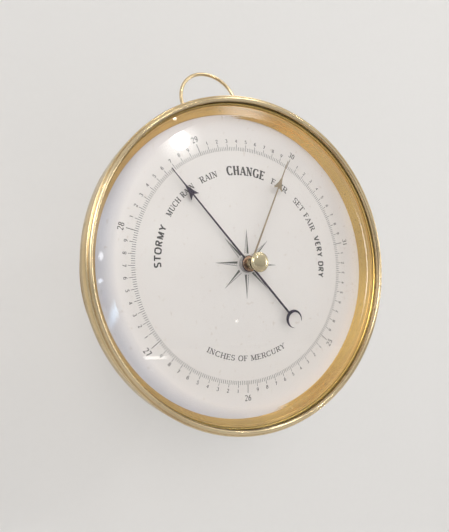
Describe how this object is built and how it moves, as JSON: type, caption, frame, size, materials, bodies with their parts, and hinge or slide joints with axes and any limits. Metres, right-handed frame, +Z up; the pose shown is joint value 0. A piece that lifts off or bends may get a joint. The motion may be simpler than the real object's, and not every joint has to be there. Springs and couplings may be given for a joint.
{
  "type": "marine aneroid barometer",
  "caption": "Brass cased wall barometer with an aneroid movement, a silvered dial behind bevelled glass, a pointer, a setting hand and a hanging ring.",
  "frame": {"origin": "centre of the flat back face, on the dial axis", "axes": "+Z up to 12 o'clock, +Y from the dial into the wall, +X to the right seen from the front"},
  "size_m": [0.1378, 0.0505, 0.1695],
  "materials": {
    "case_brass": "polished and lacquered brass",
    "gilt_brass": "turned and gilt lacquered brass",
    "bevelled_glass": "clear bevelled plate glass",
    "silvered_dial": "silvered brass",
    "knob_brass": "polished brass",
    "hand_brass": "aged brass",
    "blued_steel": "blued steel",
    "copper_brass": "copper coloured brass",
    "movement_brass": "satin brass",
    "nickel_silver": "nickel silver",
    "bright_steel": "bright steel",
    "black_iron": "blackened iron"
  },
  "bodies": {
    "case": {"case_drum": "case_brass", "case_collar": "case_brass", "bezel": "case_brass", "sight_ring": "gilt_brass", "glass": "bevelled_glass", "dial_plate": "silvered_dial", "pendant": "case_brass", "pendant_nut": "case_brass", "glass_bush": "knob_brass", "bush_nut": "knob_brass", "friction_washer": "knob_brass", "base_plate": "movement_brass", "dial_pillar_1": "movement_brass", "dial_pillar_2": "movement_brass", "dial_pillar_3": "movement_brass", "dial_pillar_4": "movement_brass", "case_screws": "case_brass", "bridge_pillar_left": "movement_brass", "bridge_pillar_right": "movement_brass", "arbor_bridge": "movement_brass", "bridge_screws": "blued_steel", "cock_pillars": "movement_brass", "upper_cock": "movement_brass", "cock_screws": "blued_steel", "capsule_stud": "movement_brass", "capsule_lower": "nickel_silver", "capsule_upper": "nickel_silver", "spring_carrier": "black_iron", "carrier_screws": "movement_brass", "mainspring": "blued_steel", "spring_clamp": "black_iron", "clamp_screws": "blued_steel", "bearing_post_left": "movement_brass", "bearing_post_right": "movement_brass", "chain": "bright_steel", "hairspring": "blued_steel", "hairspring_stud": "movement_brass"},
    "ring": {"hanging_ring": "case_brass"},
    "setting_hand": {"setting_knob": "knob_brass", "set_hand_arbor": "knob_brass", "set_hand": "hand_brass"},
    "pointer": {"pointer": "blued_steel", "pointer_collet": "copper_brass", "pointer_arbor": "bright_steel", "chain_drum": "movement_brass", "hairspring_collet": "movement_brass"},
    "lever": {"main_lever": "movement_brass", "lever_screws": "blued_steel"},
    "link": {"lever_link": "movement_brass"},
    "rocker": {"rocking_shaft": "bright_steel", "crank_arm": "movement_brass", "chain_arm": "movement_brass", "rocker_weight": "movement_brass"},
    "capsule_post": {"capsule_post": "bright_steel", "knife_pin": "blued_steel"},
    "zero_screw": {"zero_screw": "blued_steel"}
  },
  "joints": [
    {"name": "ring_swing", "type": "hinge", "parent": "case", "child": "ring", "pos_m": [0, -0.006, 0.0691], "axis": [1, 0, 0], "range_deg": [-132, 96]},
    {"name": "setting_hand_turn", "type": "hinge", "parent": "case", "child": "setting_hand", "pos_m": [0, -0.045, 0], "axis": [0, 1, 0], "continuous": true},
    {"name": "lever_tilt", "type": "hinge", "parent": "case", "child": "lever", "pos_m": [0, -0.013, -0.042], "axis": [1, 0, 0], "range_deg": [-0.79, 0.89], "deforming": ["mainspring"]},
    {"name": "post_travel", "type": "slide", "parent": "case", "child": "capsule_post", "axis": [0, 1, 0], "range_m": [-0.00066, 0.00058], "deforming": ["capsule_upper"]},
    {"name": "link_turn", "type": "hinge", "parent": "lever", "child": "link", "pos_m": [0, -0.0184, 0.034], "axis": [1, 0, 0], "range_deg": [-0.89, 0.79]},
    {"name": "rocker_turn", "type": "hinge", "parent": "case", "child": "rocker", "pos_m": [0, -0.023, 0.038], "axis": [1, 0, 0], "range_deg": [-17, 15]},
    {"name": "pointer_turn", "type": "hinge", "parent": "case", "child": "pointer", "pos_m": [0, -0.035, 0], "axis": [0, 1, 0], "range_deg": [-136, 120], "stiffness_Nm_per_rad": 0.003, "deforming": ["hairspring", "chain"]},
    {"name": "zero_adjust", "type": "hinge", "parent": "case", "child": "zero_screw", "pos_m": [0, -0.002, -0.036], "axis": [0, 1, 0], "range_deg": [-180, 180]}
  ],
  "couplings": [
    {"joint": "post_travel", "follows": "lever_tilt", "m_per_rad": -0.042},
    {"joint": "link_turn", "follows": "lever_tilt", "ratio": -1},
    {"joint": "rocker_turn", "follows": "lever_tilt", "ratio": -19},
    {"joint": "pointer_turn", "follows": "lever_tilt", "ratio": -152}
  ]
}
